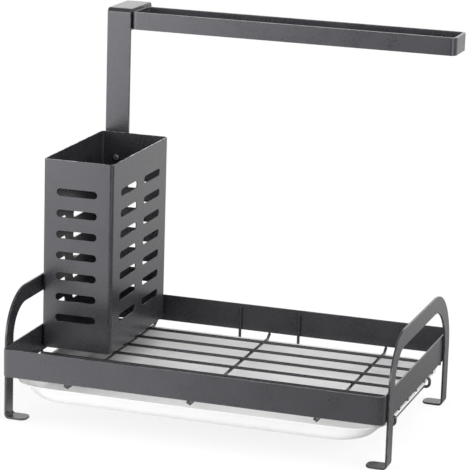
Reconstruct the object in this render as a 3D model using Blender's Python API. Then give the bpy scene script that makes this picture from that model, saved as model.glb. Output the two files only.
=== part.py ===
"""Sink organizer: a wire bottomed tray on two arched side frames, with a slotted utensil holder,
a post that carries a towel arm, and a drip tray that slides out to the front.

Metres, +Z up. X runs along the long side and the front looks towards -Y. The origin is the middle
of the bounding box's base, so every piece hangs on one empty that stands under the rim's centre.
"""

import math

import bmesh
import bpy
from mathutils import Euler, Vector

# Clearances
SEAT_GAP = 0.0003
TRAY_CLEARANCE = 0.0004
CUT_OVERRUN = 0.002
WELD_DISTANCE = 0.00003

# Tray rim: one flat strip bent round and closed
RIM_LENGTH = 0.360
RIM_DEPTH = 0.240
RIM_HEIGHT = 0.026
RIM_WALL = 0.0015
RIM_CORNER_RADIUS = 0.0065
RIM_BOTTOM = 0.044

# Wires
WIRE_DIAMETER = 0.0028
WIRE_END_INSET = 0.0005
LONG_WIRE_COUNT = 7
CROSS_WIRE_PITCH = 0.118
CROSS_WIRE_SIDES = (-1, 0, 1)
CRANK_FLAT = 0.002
CRANK_RUN = 0.0045
CRANK_RADIUS = 0.003
STOP_SPACING = 0.060
STOP_DROP = 0.009
STOP_TOP_INSET = 0.004

# Arched side frames
ARCH_PLATE = 0.002
ARCH_STRIP = 0.016
ARCH_INSET = 0.0115
ARCH_TOP = 0.118
ARCH_FRONT_RADIUS = 0.045
ARCH_REAR_RADIUS = 0.062
TOE_LENGTH = 0.0205
TOE_BEND_RADIUS = 0.0025
TOE_CORNER = 0.003

# Drip tray
DRIP_END_INSET = 0.003
DRIP_FRONT_INSET = 0.002
DRIP_HEIGHT = 0.016
DRIP_KNEE_HEIGHT = 0.005
DRIP_WALL = 0.0016
DRIP_LIP_WIDTH = 0.003
DRIP_LIP_HEIGHT = 0.0015
DRIP_CORNER_RADIUS = 0.037
DRIP_END_KNEE_INSET = 0.013
DRIP_END_FOOT_INSET = 0.018
DRIP_SIDE_KNEE_INSET = 0.005
DRIP_SIDE_FOOT_INSET = 0.0105

# Wires that carry the drip tray's lip
RUNNER_FRONT_INSET = 0.037
RUNNER_REAR_INSET = 0.080
RUNNER_END_INSET = 0.001
RUNNER_SHOULDER = 0.0014
RUNNER_LIP_OVERHANG = 0.0014
RUNNER_SHOULDER_RADIUS = 0.002
RUNNER_HOOK_RADIUS = 0.0035

# Utensil holder
HOLDER_WIDTH = 0.0692
HOLDER_DEPTH = 0.146
HOLDER_BOTTOM = 0.0489
HOLDER_TOP = 0.2303
HOLDER_WALL = 0.001
HOLDER_CORNER_RADIUS = 0.0035
SLOT_ROWS = 7
REAR_SLOT_ROWS = 6
LEFT_SLOT_ROWS = 5
SLOT_PITCH = 0.0201
SLOT_HEIGHT = 0.0072
FRONT_SLOT_LENGTH = 0.0404
FRONT_SLOT_SHIFT = 0.0011
SIDE_SLOT_LENGTH = 0.0425
SIDE_SLOT_SPACING = 0.061
LEFT_SLOT_SHIFT = 0.009
LEFT_SLOT_RISE = 0.002
HOLDER_FLOOR_RAISE = 0.001
DRAIN_ROWS = 6
DRAIN_COLUMNS = 3
DRAIN_DIAMETER = 0.006
DRAIN_PITCH = 0.018

# Post and its cap
POST_WIDTH = 0.024
POST_THICKNESS = 0.003
POST_TOP = 0.352
POST_CORNER_REACH = 0.001
CAP_DEPTH = 0.058
CAP_FLANGE = 0.021
CAP_BEND_RADIUS = 0.0045

# Towel arm
ARM_DEPTH = 0.042
ARM_HEIGHT = 0.017
ARM_THICKNESS = 0.003
ARM_DROP = 0.0025
ARM_CORNER_RADIUS = 0.006
ARM_REACH = 0.1726

# Screws and nuts
SCREW_DIAMETER = 0.004
SCREW_HEAD_DIAMETER = 0.0076
SCREW_HEAD_HEIGHT = 0.0024
SCREW_RECESS_WIDTH = 0.001
SCREW_RECESS_LENGTH = 0.0044
SCREW_RECESS_DEPTH = 0.0012
SCREW_END_SPARE = 0.001
NUT_WIDTH = 0.007
NUT_HEIGHT = 0.003
UPPER_SCREW_DROP = 0.0255
LOWER_SCREW_RISE = 0.014

# Smoothness of round shapes
CORNER_STEPS = 8
ARCH_STEPS = 16
BEND_STEPS = 4
SLOT_END_STEPS = 6
HOLE_STEPS = 16
WIRE_BEVEL_RESOLUTION = 4
SHARP_ANGLE = math.radians(30)
QUARTER_TURN = math.pi / 2

# Places that follow from the sizes above
RIM_TOP = RIM_BOTTOM + RIM_HEIGHT
RIM_INNER_END = RIM_LENGTH / 2 - RIM_WALL
RIM_INNER_SIDE = RIM_DEPTH / 2 - RIM_WALL
WIRE_RADIUS = WIRE_DIAMETER / 2
LONG_WIRE_PITCH = RIM_DEPTH / (LONG_WIRE_COUNT + 1)
LONG_WIRE_Z = RIM_BOTTOM - SEAT_GAP - WIRE_RADIUS
CROSS_WIRE_Z = LONG_WIRE_Z - WIRE_DIAMETER - SEAT_GAP
DRIP_TOP = CROSS_WIRE_Z - WIRE_RADIUS - TRAY_CLEARANCE
DRIP_BOTTOM = DRIP_TOP - DRIP_HEIGHT
DRIP_LENGTH = RIM_LENGTH - 2 * DRIP_END_INSET
RUNNER_Z = DRIP_TOP - DRIP_LIP_HEIGHT - SEAT_GAP - WIRE_RADIUS
RUNNER_X = DRIP_LENGTH / 2 - RUNNER_LIP_OVERHANG
RUNNER_FRONT_Y = -RIM_DEPTH / 2 + RUNNER_FRONT_INSET
RUNNER_REAR_Y = RIM_DEPTH / 2 - RUNNER_REAR_INSET
STOP_Y = RIM_INNER_SIDE - SEAT_GAP - WIRE_RADIUS
STOP_FACE = STOP_Y - WIRE_RADIUS
POST_BACK = RIM_INNER_SIDE - SEAT_GAP
POST_FRONT = POST_BACK - POST_THICKNESS
HOLDER_BACK = POST_FRONT - SEAT_GAP
HOLDER_LEFT = -RIM_INNER_END + SEAT_GAP
HOLDER_X = HOLDER_LEFT + HOLDER_WIDTH / 2
HOLDER_Y = HOLDER_BACK - HOLDER_DEPTH / 2
HOLDER_Z = (HOLDER_BOTTOM + HOLDER_TOP) / 2
POST_LEFT = -RIM_LENGTH / 2 + RIM_CORNER_RADIUS - POST_CORNER_REACH
POST_RIGHT = POST_LEFT + POST_WIDTH
POST_X = POST_LEFT + POST_WIDTH / 2
CAP_BACK = POST_FRONT + CAP_DEPTH
ARM_LEFT = POST_RIGHT + SEAT_GAP
ARM_TOP = POST_TOP - ARM_DROP
ARM_Y = POST_FRONT + ARM_DEPTH / 2
ARM_Z = ARM_TOP - ARM_HEIGHT / 2
HOLE_RADIUS = SCREW_DIAMETER / 2 + SEAT_GAP
FRAME_SHIFT = (RIM_DEPTH / 2 - CAP_BACK) / 2


def clear_scene():
    """Remove whatever the file already holds."""
    for old in list(bpy.data.objects):
        bpy.data.objects.remove(old, do_unlink=True)


def make_material(name, colour, roughness, metallic):
    """Return a Principled material with this colour, roughness and metallic value."""
    material = bpy.data.materials.new(name)
    material.use_nodes = True
    shader = material.node_tree.nodes["Principled BSDF"]
    shader.inputs["Base Color"].default_value = (*colour, 1.0)
    shader.inputs["Roughness"].default_value = roughness
    shader.inputs["Metallic"].default_value = metallic
    return material


def make_root():
    """Return the empty that carries every piece, under the rim's centre."""
    root = bpy.data.objects.new("organizer_root", None)
    root.location = (0, FRAME_SHIFT, 0)
    bpy.context.scene.collection.objects.link(root)
    return root


def add_piece(name, data, material, root, location=(0, 0, 0), rotation=(0, 0, 0)):
    """Link a mesh or curve as the named piece, place it under the root and give it its material."""
    piece = bpy.data.objects.new(name, data)
    bpy.context.scene.collection.objects.link(piece)
    piece.parent = root
    piece.location = location
    piece.rotation_euler = rotation
    data.materials.append(material)
    return piece


def mesh_from(name, shape):
    """Turn a bmesh into a mesh with outward faces and smooth round parts."""
    bmesh.ops.recalc_face_normals(shape, faces=shape.faces)
    mesh = bpy.data.meshes.new(name)
    shape.to_mesh(mesh)
    shape.free()
    mesh.shade_smooth()
    mesh.set_sharp_from_angle(angle=SHARP_ANGLE)
    return mesh


def rounded_rectangle(half_x, half_y, radius, steps=CORNER_STEPS):
    """Return the points of a rounded rectangle, anticlockwise, as (x, y) pairs."""
    points = []
    corners = ((1, 1, 0), (-1, 1, 1), (-1, -1, 2), (1, -1, 3))
    for side_x, side_y, quarter in corners:
        for step in range(steps + 1):
            angle = QUARTER_TURN * (quarter + step / steps)
            x = side_x * (half_x - radius) + radius * math.cos(angle)
            y = side_y * (half_y - radius) + radius * math.sin(angle)
            points.append((x, y))
    return points


def filleted_path(corners, radii, steps=BEND_STEPS):
    """Return the corner points of a flat or solid path with each inner corner turned into an arc."""
    path = [Vector(corners[0])]
    for index, radius in enumerate(radii, 1):
        here = Vector(corners[index])
        back = (Vector(corners[index - 1]) - here).normalized()
        onward = (Vector(corners[index + 1]) - here).normalized()
        half_angle = back.angle(onward) / 2
        centre = here + (back + onward).normalized() * (radius / math.sin(half_angle))
        start = (here + back * (radius / math.tan(half_angle)) - centre).normalized()
        end = (here + onward * (radius / math.tan(half_angle)) - centre).normalized()
        for step in range(steps + 1):
            path.append(centre + start.slerp(end, step / steps) * radius)
    path.append(Vector(corners[-1]))
    return path


def bridge_rings(shape, rings):
    """Join a list of vertex rings of equal length, each to the next, with four sided faces."""
    for lower, upper in zip(rings, rings[1:]):
        count = len(lower)
        for index in range(count):
            after = (index + 1) % count
            shape.faces.new((lower[index], lower[after], upper[after], upper[index]))


def ring_at(shape, outline, z):
    """Add an outline's vertices at one height and return them."""
    return [shape.verts.new((x, y, z)) for x, y in outline]


def band_mesh(name, half_x, half_y, radius, wall, bottom, top, steps=CORNER_STEPS):
    """Return an upright band: a rounded rectangle of sheet with no floor."""
    shape = bmesh.new()
    outer = rounded_rectangle(half_x, half_y, radius, steps)
    inner = rounded_rectangle(half_x - wall, half_y - wall, radius - wall, steps)
    rings = [
        ring_at(shape, outer, bottom),
        ring_at(shape, outer, top),
        ring_at(shape, inner, top),
        ring_at(shape, inner, bottom),
    ]
    bridge_rings(shape, rings + rings[:1])
    return mesh_from(name, shape)


def strip_mesh(name, path, width):
    """Return a flat strip bent along a closed 2-D outline (x, z) and run along Y by its width."""
    shape = bmesh.new()
    outline = [shape.verts.new((x, -width / 2, z)) for x, z in path]
    face = shape.faces.new(outline)
    grown = bmesh.ops.extrude_face_region(shape, geom=[face])
    moved = [item for item in grown["geom"] if isinstance(item, bmesh.types.BMVert)]
    bmesh.ops.translate(shape, verts=moved, vec=(0, width, 0))
    return mesh_from(name, shape)


def wire_curve(name, points):
    """Return a poly curve of the wire's diameter through these points, with closed ends."""
    curve = bpy.data.curves.new(name, "CURVE")
    curve.dimensions = "3D"
    curve.resolution_u = 1
    curve.render_resolution_u = 0
    curve.bevel_depth = WIRE_RADIUS
    curve.bevel_resolution = WIRE_BEVEL_RESOLUTION
    curve.use_fill_caps = True
    spline = curve.splines.new("POLY")
    spline.points.add(len(points) - 1)
    for point, place in zip(spline.points, points):
        point.co = (*place, 1.0)
    return curve


def cylinder_shape(shape, radius, depth, segments=HOLE_STEPS):
    """Add a cylinder that stands on the origin and rises along +Z, and return its vertices."""
    made = bmesh.ops.create_cone(
        shape, cap_ends=True, segments=segments, radius1=radius, radius2=radius, depth=depth
    )
    bmesh.ops.translate(shape, verts=made["verts"], vec=(0, 0, depth / 2))
    return made["verts"]


def cut_away(piece, cutter_mesh, location=(0, 0, 0), rotation=(0, 0, 0)):
    """Cut a hidden cutter out of a piece, with the cutter placed beside it under the same root."""
    cutter = bpy.data.objects.new(cutter_mesh.name, cutter_mesh)
    bpy.context.scene.collection.objects.link(cutter)
    cutter.parent = piece.parent
    cutter.location = location
    cutter.rotation_euler = rotation
    cutter.hide_render = True
    cutter.display_type = "WIRE"
    modifier = piece.modifiers.new(cutter_mesh.name, "BOOLEAN")
    modifier.operation = "DIFFERENCE"
    modifier.solver = "EXACT"
    modifier.object = cutter


def hole_cutter(name, depth):
    """Return a cutter for one screw hole: a round bar centred on the origin, along Z."""
    shape = bmesh.new()
    verts = cylinder_shape(shape, HOLE_RADIUS, depth)
    bmesh.ops.translate(shape, verts=verts, vec=(0, 0, -depth / 2))
    return mesh_from(name, shape)


def slot_cutter(name, length, columns, rows):
    """Return one cutter for a wall's slots, with bars along Y in the lowest rows of each column."""
    shape = bmesh.new()
    half = length / 2 - SLOT_HEIGHT / 2
    depth = HOLDER_WALL + 2 * CUT_OVERRUN
    for row in range(rows):
        z = (row - (SLOT_ROWS - 1) / 2) * SLOT_PITCH
        for x in columns:
            verts = []
            for side, start in ((1, -QUARTER_TURN), (-1, QUARTER_TURN)):
                for step in range(SLOT_END_STEPS + 1):
                    angle = start + math.pi * step / SLOT_END_STEPS
                    across = x + side * half + SLOT_HEIGHT / 2 * math.cos(angle)
                    up = z + SLOT_HEIGHT / 2 * math.sin(angle)
                    verts.append(shape.verts.new((across, -depth / 2, up)))
            face = shape.faces.new(verts)
            grown = bmesh.ops.extrude_face_region(shape, geom=[face])
            moved = [item for item in grown["geom"] if isinstance(item, bmesh.types.BMVert)]
            bmesh.ops.translate(shape, verts=moved, vec=(0, depth, 0))
    return mesh_from(name, shape)


def make_rim(steel, root):
    """Make the tray's rim."""
    mesh = band_mesh(
        "tray_rim", RIM_LENGTH / 2, RIM_DEPTH / 2, RIM_CORNER_RADIUS, RIM_WALL, RIM_BOTTOM, RIM_TOP
    )
    return add_piece("tray_rim", mesh, steel, root)


def make_long_wires(steel, root):
    """Make the wires that run along the tray, under the rim's lower edge."""
    half = RIM_LENGTH / 2 - WIRE_END_INSET
    curve = wire_curve("long_wire", [(-half, 0, 0), (half, 0, 0)])
    for index in range(LONG_WIRE_COUNT):
        y = (index - (LONG_WIRE_COUNT - 1) / 2) * LONG_WIRE_PITCH
        wire = curve if index == 0 else curve.copy()
        add_piece(f"long_wire_{index + 1}", wire, steel, root, (0, y, LONG_WIRE_Z))


def make_cross_wires(steel, root):
    """Make the wires under the long ones, with ends cranked up to the rim's front and rear."""
    end = RIM_DEPTH / 2 - WIRE_END_INSET
    rise = LONG_WIRE_Z - CROSS_WIRE_Z
    corners = [
        (-end, rise),
        (-end + CRANK_FLAT, rise),
        (-end + CRANK_FLAT + CRANK_RUN, 0),
        (end - CRANK_FLAT - CRANK_RUN, 0),
        (end - CRANK_FLAT, rise),
        (end, rise),
    ]
    path = filleted_path(corners, [CRANK_RADIUS] * (len(corners) - 2))
    for index, side in enumerate(CROSS_WIRE_SIDES):
        curve = wire_curve("cross_wire", [(0, y, z) for y, z in path])
        place = (side * CROSS_WIRE_PITCH, 0, CROSS_WIRE_Z)
        add_piece(f"cross_wire_{index + 1}", curve, steel, root, place)


def make_rear_stops(steel, root):
    """Make the two short upright wires inside the rear of the rim that stop the drip tray."""
    bottom = RIM_BOTTOM - STOP_DROP
    top = RIM_TOP - STOP_TOP_INSET
    for name, side in (("left_rear_stop", -1), ("right_rear_stop", 1)):
        curve = wire_curve(name, [(0, 0, bottom), (0, 0, top)])
        add_piece(name, curve, steel, root, (side * STOP_SPACING / 2, STOP_Y, 0))


def make_runners(steel, root):
    """Make the two wires hooked under the rim's ends, whose straights carry the drip tray's lip."""
    shoulder = RIM_LENGTH / 2 + RUNNER_SHOULDER
    hook = [
        (RIM_LENGTH / 2 - RUNNER_END_INSET, LONG_WIRE_Z),
        (shoulder, LONG_WIRE_Z),
        (shoulder, RUNNER_Z),
        (RUNNER_X, RUNNER_Z),
    ]
    radii = [RUNNER_SHOULDER_RADIUS, RUNNER_HOOK_RADIUS, RUNNER_SHOULDER_RADIUS]
    for name, side in (("left_runner", -1), ("right_runner", 1)):
        corners = [(side * x, RUNNER_FRONT_Y, z) for x, z in hook]
        corners += [(side * x, RUNNER_REAR_Y, z) for x, z in reversed(hook)]
        path = filleted_path(corners, radii + radii[::-1])
        add_piece(name, wire_curve(name, path), steel, root)


def arch_outline(inset):
    """Return the arch's edge over its two rounded corners, drawn in by an inset, as (y, z) pairs."""
    points = []
    half = RIM_DEPTH / 2 - ARCH_INSET - inset
    top = ARCH_TOP - inset
    corners = ((-1, math.pi, ARCH_FRONT_RADIUS), (1, QUARTER_TURN, ARCH_REAR_RADIUS))
    for side, start, outer_radius in corners:
        radius = outer_radius - inset
        for step in range(ARCH_STEPS + 1):
            angle = start - QUARTER_TURN * step / ARCH_STEPS
            y = side * (half - radius) + radius * math.cos(angle)
            points.append((y, top - radius + radius * math.sin(angle)))
    return points


def make_arch(name, side, steel, root):
    """Make one side frame: a flat arch of strip whose two feet are bent in under the tray."""
    shape = bmesh.new()
    half = RIM_DEPTH / 2 - ARCH_INSET
    bend_top = ARCH_PLATE + TOE_BEND_RADIUS
    half_inside = half - ARCH_STRIP
    outer = [(-half, bend_top)] + arch_outline(0) + [(half, bend_top)]
    inner = [(-half_inside, bend_top)] + arch_outline(ARCH_STRIP) + [(half_inside, bend_top)]
    outer_verts = [shape.verts.new((0, y, z)) for y, z in outer]
    inner_verts = [shape.verts.new((0, y, z)) for y, z in inner]
    for index in range(len(outer) - 1):
        shape.faces.new((
            outer_verts[index], inner_verts[index], inner_verts[index + 1], outer_verts[index + 1]
        ))
    bend = TOE_BEND_RADIUS + ARCH_PLATE
    for first, second in ((outer_verts[0], inner_verts[0]), (outer_verts[-1], inner_verts[-1])):
        pair = [first, second]
        drops = []
        for step in range(1, BEND_STEPS + 1):
            angle = QUARTER_TURN * step / BEND_STEPS
            drops.append((bend - bend * math.cos(angle), bend_top - bend * math.sin(angle)))
        drops.append((TOE_LENGTH, 0))
        for inward, z in drops:
            lower = [shape.verts.new((-side * inward, vert.co.y, z)) for vert in pair]
            shape.faces.new((pair[0], pair[1], lower[1], lower[0]))
            pair = lower
        bmesh.ops.bevel(
            shape, geom=pair, offset=TOE_CORNER, segments=BEND_STEPS, profile=0.5,
            affect="VERTICES", material=-1,
        )
    arch = add_piece(name, mesh_from(name, shape), steel, root)
    arch.location = (side * (RIM_LENGTH / 2 + SEAT_GAP + ARCH_PLATE), 0, 0)
    thickness = arch.modifiers.new("plate", "SOLIDIFY")
    thickness.thickness = ARCH_PLATE
    thickness.use_even_offset = True
    return arch


def drip_ring(shape, inset_x, inset_y, z, wall=0):
    """Add one level of the drip tray, drawn in by its two insets and the wall."""
    half_x = DRIP_LENGTH / 2 - inset_x - wall
    front = -RIM_DEPTH / 2 + DRIP_FRONT_INSET
    half_y = (STOP_FACE - SEAT_GAP - front) / 2 - inset_y - wall
    radius = DRIP_CORNER_RADIUS - (inset_x + inset_y) / 2 - wall
    return ring_at(shape, rounded_rectangle(half_x, half_y, radius), z)


def make_drip_tray(plastic, root):
    """Make the drip tray, from its lip down its sloping walls to its floor and up inside."""
    shape = bmesh.new()
    lip = DRIP_LIP_WIDTH
    lip_bottom = DRIP_TOP - DRIP_LIP_HEIGHT
    knee_z = DRIP_BOTTOM + DRIP_KNEE_HEIGHT
    knee = (DRIP_END_KNEE_INSET, DRIP_SIDE_KNEE_INSET)
    foot = (DRIP_END_FOOT_INSET, DRIP_SIDE_FOOT_INSET)
    rings = [
        drip_ring(shape, *foot, DRIP_BOTTOM),
        drip_ring(shape, *knee, knee_z),
        drip_ring(shape, lip, lip, lip_bottom),
        drip_ring(shape, 0, 0, lip_bottom),
        drip_ring(shape, 0, 0, DRIP_TOP),
        drip_ring(shape, lip, lip, DRIP_TOP, DRIP_WALL),
        drip_ring(shape, *knee, knee_z + DRIP_WALL / 2, DRIP_WALL),
        drip_ring(shape, *foot, DRIP_BOTTOM + DRIP_WALL, DRIP_WALL),
    ]
    bridge_rings(shape, rings)
    shape.faces.new(rings[0])
    shape.faces.new(rings[-1])
    front = -RIM_DEPTH / 2 + DRIP_FRONT_INSET
    middle = (STOP_FACE - SEAT_GAP + front) / 2
    return add_piece("drip_tray", mesh_from("drip_tray", shape), plastic, root, (0, middle, 0))


def make_holder(steel, root):
    """Make the utensil holder's folded wall with its slots, and its drained floor."""
    half_x = HOLDER_WIDTH / 2
    half_y = HOLDER_DEPTH / 2
    half_z = (HOLDER_TOP - HOLDER_BOTTOM) / 2
    place = (HOLDER_X, HOLDER_Y, HOLDER_Z)
    walls = band_mesh(
        "utensil_holder", half_x, half_y, HOLDER_CORNER_RADIUS, HOLDER_WALL, -half_z, half_z,
        BEND_STEPS,
    )
    holder = add_piece("utensil_holder", walls, steel, root, place)
    to_end = half_x - HOLDER_WALL / 2
    to_side = half_y - HOLDER_WALL / 2
    middle = [-FRONT_SLOT_SHIFT]
    right_pair = [-SIDE_SLOT_SPACING / 2, SIDE_SLOT_SPACING / 2]
    left_pair = [y - LEFT_SLOT_SHIFT for y in right_pair]
    walls = (
        ("front_slots", FRONT_SLOT_LENGTH, middle, SLOT_ROWS, (0, -to_side, 0), 0),
        ("rear_slots", FRONT_SLOT_LENGTH, middle, REAR_SLOT_ROWS, (0, to_side, 0), 0),
        ("right_slots", SIDE_SLOT_LENGTH, right_pair, SLOT_ROWS, (to_end, 0, 0), QUARTER_TURN),
        ("left_slots", SIDE_SLOT_LENGTH, left_pair, LEFT_SLOT_ROWS, (-to_end, 0, LEFT_SLOT_RISE),
         QUARTER_TURN),
    )
    for name, length, columns, rows, wall, turn in walls:
        cutter = slot_cutter(name, length, columns, rows)
        cut_away(holder, cutter, Vector(place) + Vector(wall), (0, 0, turn))

    radius = HOLDER_CORNER_RADIUS - HOLDER_WALL
    inset = HOLDER_WALL + SEAT_GAP
    outline = rounded_rectangle(half_x - inset, half_y - inset, radius, BEND_STEPS)
    shape = bmesh.new()
    rings = [ring_at(shape, outline, 0), ring_at(shape, outline, HOLDER_WALL)]
    bridge_rings(shape, rings)
    shape.faces.new(rings[0])
    shape.faces.new(rings[1])
    floor_place = (HOLDER_X, HOLDER_Y, HOLDER_BOTTOM + HOLDER_FLOOR_RAISE)
    floor = add_piece("holder_floor", mesh_from("holder_floor", shape), steel, root, floor_place)
    drains = bmesh.new()
    for row in range(DRAIN_ROWS):
        for column in range(DRAIN_COLUMNS):
            verts = cylinder_shape(drains, DRAIN_DIAMETER / 2, HOLDER_WALL + 2 * CUT_OVERRUN)
            x = (column - (DRAIN_COLUMNS - 1) / 2) * DRAIN_PITCH
            y = (row - (DRAIN_ROWS - 1) / 2) * DRAIN_PITCH
            bmesh.ops.translate(drains, verts=verts, vec=(x, y, -CUT_OVERRUN))
    cut_away(floor, mesh_from("drain_holes", drains), floor_place)
    return holder


def make_post(steel, root):
    """Make the post: one strip that rises behind the holder and folds over into a cap."""
    front = (0, RIM_BOTTOM)
    inner_top = POST_TOP - POST_THICKNESS
    flange_bottom = POST_TOP - CAP_FLANGE
    outer = filleted_path(
        [front, (0, POST_TOP), (CAP_DEPTH, POST_TOP), (CAP_DEPTH, flange_bottom)],
        [CAP_BEND_RADIUS] * 2,
    )
    inner = filleted_path(
        [
            (CAP_DEPTH - POST_THICKNESS, flange_bottom),
            (CAP_DEPTH - POST_THICKNESS, inner_top),
            (POST_THICKNESS, inner_top),
            (POST_THICKNESS, RIM_BOTTOM),
        ],
        [CAP_BEND_RADIUS - POST_THICKNESS] * 2,
    )
    mesh = strip_mesh("post", outer + inner, POST_WIDTH)
    return add_piece("post", mesh, steel, root, (POST_X, POST_FRONT, 0), (0, 0, QUARTER_TURN))


def make_cap_plate(steel, root):
    """Make the plate in the cap's side that the towel arm is screwed to."""
    inset = POST_THICKNESS + SEAT_GAP
    half_y = CAP_DEPTH / 2 - inset
    top = POST_TOP - inset
    bottom = POST_TOP - CAP_FLANGE
    radius = CAP_BEND_RADIUS - POST_THICKNESS
    corners = [(-half_y, bottom), (-half_y, top), (half_y, top), (half_y, bottom)]
    mesh = strip_mesh("cap_plate", filleted_path(corners, [radius] * 2), POST_THICKNESS)
    place = (POST_RIGHT - POST_THICKNESS / 2, POST_FRONT + CAP_DEPTH / 2, 0)
    return add_piece("cap_plate", mesh, steel, root, place, (0, 0, QUARTER_TURN))


def make_arm(steel, root):
    """Make the towel arm: a long closed loop of upright strip, screwed to the cap's plate."""
    half_x = (ARM_REACH - ARM_LEFT) / 2
    mesh = band_mesh(
        "towel_arm", half_x, ARM_DEPTH / 2, ARM_CORNER_RADIUS, ARM_THICKNESS,
        -ARM_HEIGHT / 2, ARM_HEIGHT / 2,
    )
    return add_piece("towel_arm", mesh, steel, root, (ARM_LEFT + half_x, ARM_Y, ARM_Z))


def screw_mesh(name, grip):
    """Return a pan head screw along Z, its head above the origin and its shank below."""
    shape = bmesh.new()
    profile = [(0, SCREW_HEAD_HEIGHT)]
    head_radius = SCREW_HEAD_DIAMETER / 2
    for step in range(1, BEND_STEPS + 1):
        angle = QUARTER_TURN * step / BEND_STEPS
        profile.append((head_radius * math.sin(angle), SCREW_HEAD_HEIGHT * math.cos(angle)))
    tip = grip + NUT_HEIGHT + 2 * SEAT_GAP + SCREW_END_SPARE
    profile += [(SCREW_DIAMETER / 2, 0), (SCREW_DIAMETER / 2, -tip), (0, -tip)]
    verts = [shape.verts.new((x, 0, z)) for x, z in profile]
    edges = [shape.edges.new(pair) for pair in zip(verts, verts[1:])]
    bmesh.ops.spin(
        shape, geom=verts + edges, cent=(0, 0, 0), axis=(0, 0, 1), dvec=(0, 0, 0),
        angle=math.tau, steps=HOLE_STEPS, use_merge=True,
    )
    bmesh.ops.remove_doubles(shape, verts=shape.verts, dist=WELD_DISTANCE)
    return mesh_from(name, shape)


def recess_mesh(name):
    """Return the cross recess's cutter, which reaches down into a screw head."""
    shape = bmesh.new()
    long, short = SCREW_RECESS_LENGTH / 2, SCREW_RECESS_WIDTH / 2
    outline = []
    for cosine, sine in ((1, 0), (0, 1), (-1, 0), (0, -1)):
        for x, y in ((long, -short), (long, short), (short, short)):
            outline.append((cosine * x - sine * y, sine * x + cosine * y))
    bottom = SCREW_HEAD_HEIGHT - SCREW_RECESS_DEPTH
    above = SCREW_HEAD_HEIGHT + CUT_OVERRUN
    rings = [ring_at(shape, outline, bottom), ring_at(shape, outline, above)]
    bridge_rings(shape, rings)
    shape.faces.new(rings[0])
    shape.faces.new(rings[1])
    return mesh_from(name, shape)


def nut_mesh(name):
    """Return a hexagon nut along Z, its seat at the origin and its body below."""
    shape = bmesh.new()
    corner = NUT_WIDTH / math.sqrt(3)
    cylinder_shape(shape, corner, NUT_HEIGHT, segments=6)
    bmesh.ops.translate(shape, verts=shape.verts, vec=(0, 0, -NUT_HEIGHT))
    return mesh_from(name, shape)


def make_fastener(name, stack, grip, zinc, root, place, rotation):
    """Make a screw and its nut through a stack of pieces, and drill each piece of the stack.

    The head seats SEAT_GAP in front of place, along the local +Z that the rotation turns.
    """
    turned = Vector((0, 0, 1))
    turned.rotate(Euler(rotation))
    seat = Vector(place) + turned * SEAT_GAP
    screw = add_piece(f"{name}_screw", screw_mesh(f"{name}_screw", grip), zinc, root, seat, rotation)
    cut_away(screw, recess_mesh(f"{name}_recess"), seat, rotation)
    under = Vector(place) - turned * (grip + SEAT_GAP)
    nut_reach = 2 * (NUT_HEIGHT + CUT_OVERRUN)
    nut = add_piece(f"{name}_nut", nut_mesh(f"{name}_nut"), zinc, root, under, rotation)
    cut_away(nut, hole_cutter(f"{name}_nut_hole", nut_reach), under, rotation)
    for piece in stack:
        middle = Vector(place) - turned * (grip / 2)
        cutter = hole_cutter(f"{name}_hole", grip + 2 * CUT_OVERRUN)
        cut_away(piece, cutter, middle, rotation)


def main():
    """Build the whole organizer."""
    clear_scene()
    root = make_root()
    steel = make_material("powder_coated_steel", (0.045, 0.046, 0.050), 0.45, 0.0)
    plastic = make_material("white_plastic", (0.80, 0.80, 0.79), 0.35, 0.0)
    zinc = make_material("black_screws", (0.10, 0.10, 0.11), 0.35, 1.0)
    rim = make_rim(steel, root)
    make_long_wires(steel, root)
    make_cross_wires(steel, root)
    make_rear_stops(steel, root)
    make_runners(steel, root)
    make_arch("left_arch", -1, steel, root)
    make_arch("right_arch", 1, steel, root)
    make_drip_tray(plastic, root)
    holder = make_holder(steel, root)
    post = make_post(steel, root)
    plate = make_cap_plate(steel, root)
    arm = make_arm(steel, root)
    facing_front = (QUARTER_TURN, 0, 0)
    facing_right = (0, QUARTER_TURN, 0)
    holder_face = HOLDER_BACK - HOLDER_WALL
    upper = (POST_X, holder_face, HOLDER_TOP - UPPER_SCREW_DROP)
    lower = (POST_X, holder_face, RIM_BOTTOM + LOWER_SCREW_RISE)
    upper_grip = POST_BACK - holder_face
    lower_grip = RIM_DEPTH / 2 - holder_face
    make_fastener("upper_post", [holder, post], upper_grip, zinc, root, upper, facing_front)
    make_fastener("lower_post", [holder, post, rim], lower_grip, zinc, root, lower, facing_front)
    arm_face = ARM_LEFT + ARM_THICKNESS
    arm_place = (arm_face, ARM_Y, ARM_Z)
    arm_grip = arm_face - POST_RIGHT + POST_THICKNESS
    make_fastener("arm", [arm, plate], arm_grip, zinc, root, arm_place, facing_right)


main()
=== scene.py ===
"""Looks of a sink organizer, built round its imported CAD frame.

A wire bottomed tray stands on two arched side frames. It carries a slotted utensil holder, a post
with a towel arm, and a white drip tray that slides out to the front. Metres, +Z up, front to -Y.
"""

import logging
import math
from dataclasses import dataclass, field
from enum import Enum
from typing import Iterable, Sequence

import bmesh
import bpy
from mathutils import Matrix, Vector


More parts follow.
